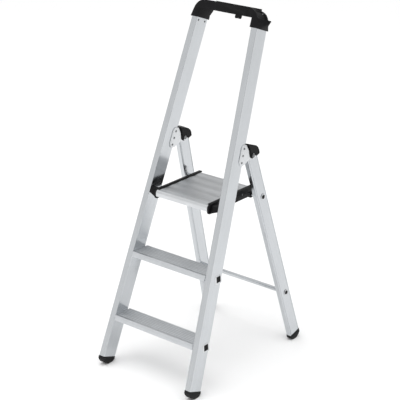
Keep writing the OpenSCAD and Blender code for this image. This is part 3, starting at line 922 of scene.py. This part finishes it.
class STOOL_OT_platform_hardware(bpy.types.Operator):
    """Black brackets beside the platform's front, and the rivets that hold the deck in its frames"""

    bl_idname = "stool.platform_hardware"
    bl_label = "Platform hardware"

    def execute(self, context):
        for word in SIDES:
            softened(f"{word}_platform_bracket", f"{word}_bracket", black(context), "front_frame",
                     0.0009)
        heads = Shell()
        low, high = corners("deck_rivets")
        radius = 0.003
        z = (low[2] + high[2]) / 2
        for side in SIDES.values():
            for y in np.linspace(low[1] + radius, high[1] - radius, 3):
                turned(heads, dome_profile(radius, 0.0005), (high[0] - 0.0006, y, z), (1, 0, 0), 24, side)
        heads.build("deck_heads", rivet_steel(context), "platform", "bright_steel", ["deck_rivets"])
        return {"FINISHED"}


class STOOL_OT_collars(bpy.types.Operator):
    """Rings round the ends of the cross tubes on the outside of the rear legs"""

    bl_idname = "stool.collars"
    bl_label = "Tube collars"

    def execute(self, context):
        layout = Layout(context.scene.stool_sizes)
        shell, plugs = Shell(), Shell()
        plug = [(0.0066, -0.0080), (0.0067, -0.0004), (0.0078, -0.0004), (0.0078, 0.0004), (0.0070, 0.0010),
                (0.0050, 0.0014), (0.0025, 0.0016), (0.0, 0.0016)]
        section = [(0.0086, 0), (0.0119, 0), (0.0119, 0.0004), (0.0110, 0.0012), (0.0098, 0.0014),
                   (0.0088, 0.0012), (0.0086, 0.0008)]
        for tube in (layout.upper_tube, layout.lower_tube):
            x = layout.leg_face(tube) + 0.0008
            for side in SIDES.values():
                shell.skin(ring_rows(section, (x, tube[1], tube[2]), side, 40), loop=True)
                turned(plugs, plug, (x + 0.0012, tube[1], tube[2]), (1, 0, 0), 32, side)
        plugs.build("tube_plugs", black(context), "rear_frame", "black_plastic", [], 30)
        shell.build("tube_rings", plate_metal(context), "rear_frame", "satin_aluminium",
                    ["cross_tube_collars"], 30)
        return {"FINISHED"}


class STOOL_OT_tray(bpy.types.Operator):
    """The moulded tray across the top, with its rivets through the stiles"""

    bl_idname = "stool.tray"
    bl_label = "Tool tray"

    def execute(self, context):
        sizes = context.scene.stool_sizes
        layout = Layout(sizes)
        softened("tool_tray", "moulded_tray", black(context), "front_frame", 0.0009)
        heads = Shell()
        height = self.height(layout) + sizes.stile_width * sin(sizes.front_taper)
        along = height / cos(sizes.front_taper)
        for side in SIDES.values():
            stile = layout.stile(side)
            for behind in (0.013, 0.051):
                centre = stile.origin + np.array([-sizes.stile_width, behind, along]) @ stile.axes
                turned(heads, dome_profile(0.004, 0.0016), centre, -stile.axes[0], 24, side)
        heads.build("tray_heads", rivet_steel(context), "front_frame", "bright_steel", ["tray_rivets"])
        return {"FINISHED"}

    @staticmethod
    def height(layout):
        """Height of the rivets in the plane of the front frame, from the middle of their box."""
        low, high = corners("tray_rivets")
        return layout.front((low[1] + high[1]) / 2, (low[2] + high[2]) / 2)[1]


def aim(place, turn, drop, roll):
    """Camera rotation that looks along its azimuth, down by drop, then rolls."""
    forward = Vector((-sin(turn) * cos(drop), cos(turn) * cos(drop), -sin(drop)))
    right = Vector((cos(turn), sin(turn), 0))
    up = right.cross(forward)
    rolled = right * cos(roll) + up * sin(roll)
    upright = up * cos(roll) - right * sin(roll)
    matrix = Matrix((rolled, upright, -forward)).transposed().to_4x4()
    matrix.translation = place
    return matrix


class STOOL_OT_stage(bpy.types.Operator):
    """Pale floor, soft studio light and the camera"""

    bl_idname = "stool.stage"
    bl_label = "Stage"

    def execute(self, context):
        scene, stage = context.scene, context.scene.stool_stage
        scene.view_settings.view_transform = "Standard"
        camera = bpy.data.objects.new("camera", bpy.data.cameras.new("camera"))
        camera.data.lens = stage.lens
        camera.data.sensor_width = 36
        camera.data.clip_start = 0.05
        camera.data.clip_end = 200
        camera.data.dof.use_dof = False
        camera.matrix_world = aim(stage.camera_place, stage.camera_turn, stage.camera_drop,
                                  stage.camera_roll)
        scene.collection.objects.link(camera)
        scene.camera = camera
        self.floor(context)
        self.sky(context)
        self.lamp(context, "key", (-0.7, -1.1, 4.3), 3.0, 48)
        self.lamp(context, "fill", (3.4, 0.6, 2.6), 2.4, 5)
        return {"FINISHED"}

    def floor(self, context):
        """A wide disc: rings of points at growing radius, one face in the middle."""
        around = 96
        t = np.linspace(0, 2 * pi, around, endpoint=False)
        radius = np.array([[60.0], [20.0], [6.0], [1.5]])
        rings = len(radius)
        flat = np.stack([radius * np.cos(t), radius * np.sin(t), np.zeros((rings, around))], -1)
        faces = grid_faces(rings, around).tolist() + [list(range((rings - 1) * around, rings * around))]
        mesh = bpy.data.meshes.new("floor")
        mesh.from_pydata(flat.reshape(-1, 3).tolist(), [], faces)
        floor = bpy.data.objects.new("floor", mesh)
        context.scene.collection.objects.link(floor)
        material, bench = new_finish("floor_paper")
        mottle = bench.cloud(bench.place(), 2.0, 2.0)
        colour = context.scene.stool_stage.floor_tone
        bench.shade(Base_Color=bench.blend(mottle, tone(colour, 0.995), tone(colour, 1.005)), Roughness=0.9,
                    Specular_IOR_Level=0.1)
        mesh.materials.append(material)

    def sky(self, context):
        """Soft box all round: brighter overhead, dimmer behind the stool."""
        stage = context.scene.stool_stage
        world = bpy.data.worlds.new("studio")
        context.scene.world = world
        world.use_nodes = True
        bench = Bench(world.node_tree)
        spot = bench.wire(bench.node("ShaderNodeTexCoord"), "Generated")
        parts = bench.node("ShaderNodeSeparateXYZ", {}, {0: spot})
        height, behind, right = bench.wire(parts, 2), bench.wire(parts, 1), bench.wire(parts, 0)
        overhead = height.soft(0.35, 0.95) * (0.35 + right.soft(-0.6, 0.1) * 0.65)
        low_down = 1 - height.soft(0.15, 0.8)
        dim = 1 - behind.soft(-0.25, 0.55) * low_down * stage.back_dim
        lift = 1 + (1 - behind.soft(-0.9, -0.2)) * low_down * stage.front_lift
        strength = (stage.horizon + overhead * (stage.zenith - stage.horizon)) * dim * lift
        glow = bench.node("ShaderNodeBackground", {}, {"Color": (1, 1, 1, 1), "Strength": strength})
        bench.node("ShaderNodeOutputWorld", {}, {"Surface": bench.wire(glow, 0)})

    def lamp(self, context, name, place, size, power):
        light = bpy.data.lights.new(name, "AREA")
        light.shape = "DISK"
        light.size = size
        light.energy = power
        lamp = bpy.data.objects.new(name, light)
        lamp.visible_glossy = False
        lamp.location = place
        lamp.rotation_euler = (Vector(place) - Vector((0, 0, 0.6))).to_track_quat("Z", "Y").to_euler()
        context.scene.collection.objects.link(lamp)


class STOOL_PT_panel(bpy.types.Panel):
    """Lists the pieces of the stool"""

    bl_label = "Step stool"
    bl_idname = "STOOL_PT_panel"
    bl_space_type = "VIEW_3D"
    bl_region_type = "UI"
    bl_category = "Step stool"

    def draw(self, context):
        for group in (context.scene.stool_sizes, context.scene.stool_finish, context.scene.stool_stage):
            column = self.layout.column()
            for key in type(group).__annotations__:
                column.prop(group, key)
        for operator in STEPS:
            self.layout.operator(operator.bl_idname)


STEPS = [STOOL_OT_stage, STOOL_OT_tubes, STOOL_OT_treads, STOOL_OT_deck, STOOL_OT_side_frames,
         STOOL_OT_step_ends, STOOL_OT_feet, STOOL_OT_hinges, STOOL_OT_platform_hardware, STOOL_OT_collars,
         STOOL_OT_tray]
GROUPS = {"stool_sizes": StoolSizes, "stool_finish": StoolFinish, "stool_stage": StoolStage}


def register():
    for item in [*GROUPS.values(), *STEPS, STOOL_PT_panel]:
        bpy.utils.register_class(item)
    for name, group in GROUPS.items():
        setattr(bpy.types.Scene, name, PointerProperty(type=group))


def unregister():
    for name in GROUPS:
        delattr(bpy.types.Scene, name)
    for item in reversed([*GROUPS.values(), *STEPS, STOOL_PT_panel]):
        bpy.utils.unregister_class(item)


def main():
    register()
    for step in STEPS:
        getattr(bpy.ops.stool, step.bl_idname.split(".")[1])()


if __name__ == "__main__":
    main()
